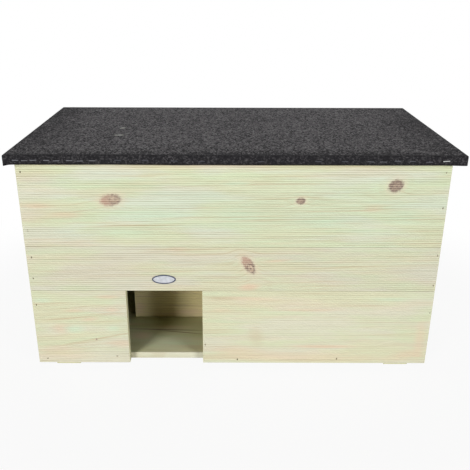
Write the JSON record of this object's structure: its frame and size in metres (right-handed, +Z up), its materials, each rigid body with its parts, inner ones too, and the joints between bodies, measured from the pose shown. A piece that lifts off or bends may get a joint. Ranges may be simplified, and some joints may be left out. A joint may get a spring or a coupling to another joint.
{
  "type": "hedgehog house",
  "caption": "Low wooden hedgehog house of fine-reeded pine boards, with a square doorway, a baffle that screens the nest, a floor on runners and a felt-covered roof hinged at the rear.",
  "frame": {"origin": "on the ground under the middle of the roof's outline", "axes": "+Z up, the doorway faces -Y, +X to the right of someone who looks at the doorway"},
  "size_m": [0.5954, 0.3244, 0.3287],
  "materials": {
    "pine_top": "pressure-treated pine with a pale green cast, fine horizontal reeds",
    "pine_middle": "pressure-treated pine, cream with tan grain, fine horizontal reeds",
    "pine_lower": "pressure-treated pine, warm cream with pink-tan grain, fine horizontal reeds",
    "pine_inside": "planed pine",
    "roof_board": "exterior plywood",
    "roofing_felt": "bitumen roofing felt with charcoal mineral granules",
    "zinc_steel": "zinc-plated steel"
  },
  "bodies": {
    "house": {"front_top_board": "pine_top", "front_middle_board": "pine_middle", "front_lower_left_board": "pine_lower", "front_lower_right_board": "pine_lower", "rear_top_board": "pine_top", "rear_middle_board": "pine_middle", "rear_lower_board": "pine_lower", "left_top_board": "pine_top", "left_middle_board": "pine_middle", "left_lower_board": "pine_lower", "right_top_board": "pine_top", "right_middle_board": "pine_middle", "right_lower_board": "pine_lower", "floor_front_board": "pine_inside", "floor_middle_board": "pine_inside", "floor_rear_board": "pine_inside", "left_runner": "pine_inside", "right_runner": "pine_inside", "baffle_lower_board": "pine_inside", "baffle_middle_board": "pine_inside", "baffle_upper_board": "pine_inside", "baffle_side_lower_board": "pine_inside", "baffle_side_middle_board": "pine_inside", "baffle_side_upper_board": "pine_inside", "left_hinge_wall_leaf": "zinc_steel", "left_hinge_wall_screw_1": "zinc_steel", "left_hinge_wall_screw_2": "zinc_steel", "left_hinge_pin": "zinc_steel", "right_hinge_wall_leaf": "zinc_steel", "right_hinge_wall_screw_1": "zinc_steel", "right_hinge_wall_screw_2": "zinc_steel", "right_hinge_pin": "zinc_steel"},
    "roof": {"roof_panel": "roof_board", "roof_felt": "roofing_felt", "left_hinge_roof_leaf": "zinc_steel", "left_hinge_roof_screw_1": "zinc_steel", "left_hinge_roof_screw_2": "zinc_steel", "right_hinge_roof_leaf": "zinc_steel", "right_hinge_roof_screw_1": "zinc_steel", "right_hinge_roof_screw_2": "zinc_steel"}
  },
  "joints": [
    {"name": "roof_hinge", "type": "hinge", "parent": "house", "child": "roof", "pos_m": [0, 0.15295, 0.31245], "axis": [-1, 0, 0], "range_deg": [0, 110]}
  ]
}
